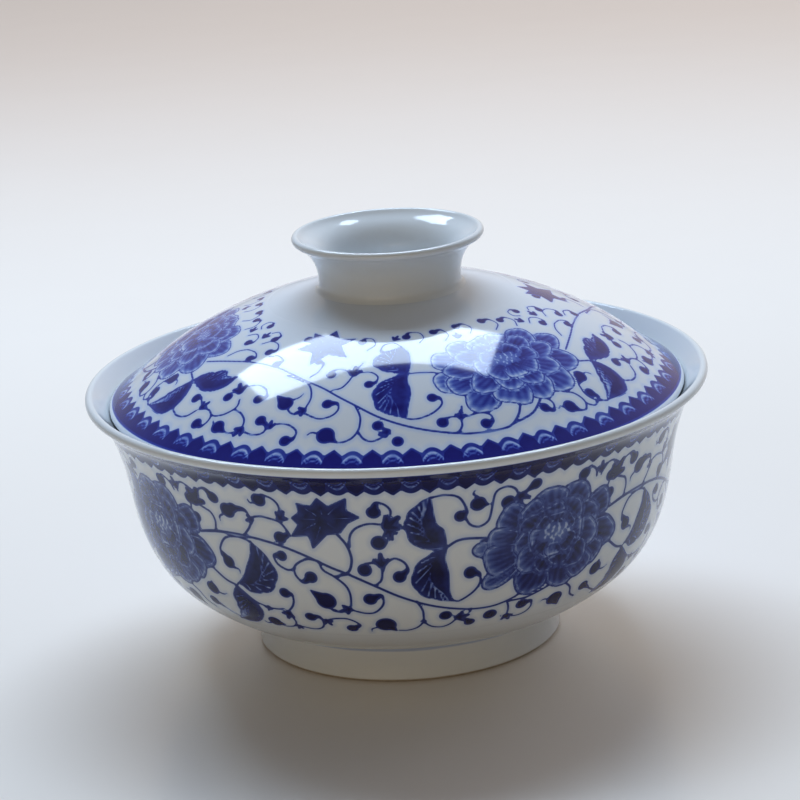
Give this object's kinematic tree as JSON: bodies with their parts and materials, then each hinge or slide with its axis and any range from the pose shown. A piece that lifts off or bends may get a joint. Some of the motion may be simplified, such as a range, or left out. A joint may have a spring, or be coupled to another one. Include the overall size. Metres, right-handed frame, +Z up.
{
  "type": "lidded rice bowl",
  "caption": "Round porcelain rice bowl on a foot ring, with a domed lift-off lid held by a hollow flared collar and painted with blue scrolling flowers.",
  "frame": {"origin": "centre of the foot ring's flat base, on the bowl's axis", "axes": "+Z up along the axis of the bowl and lid; X and Y are level and equal in shape"},
  "size_m": [0.16, 0.16, 0.1076],
  "materials": {
    "bowl_glaze": "clear gloss glaze over cobalt painting on white porcelain",
    "foot_glaze": "clear gloss glaze, bare ground base",
    "lid_glaze": "clear gloss glaze over cobalt painting on white porcelain",
    "knob_glaze": "clear gloss glaze on white porcelain"
  },
  "bodies": {
    "bowl": {"bowl_body": "bowl_glaze", "bowl_foot_ring": "foot_glaze"},
    "lid": {"lid_dome": "lid_glaze", "lid_knob_ring": "knob_glaze"}
  },
  "joints": [
    {"name": "lid_lift", "type": "slide", "parent": "bowl", "child": "lid", "axis": [0, 0, 1], "range_m": [0, 0.12]}
  ]
}
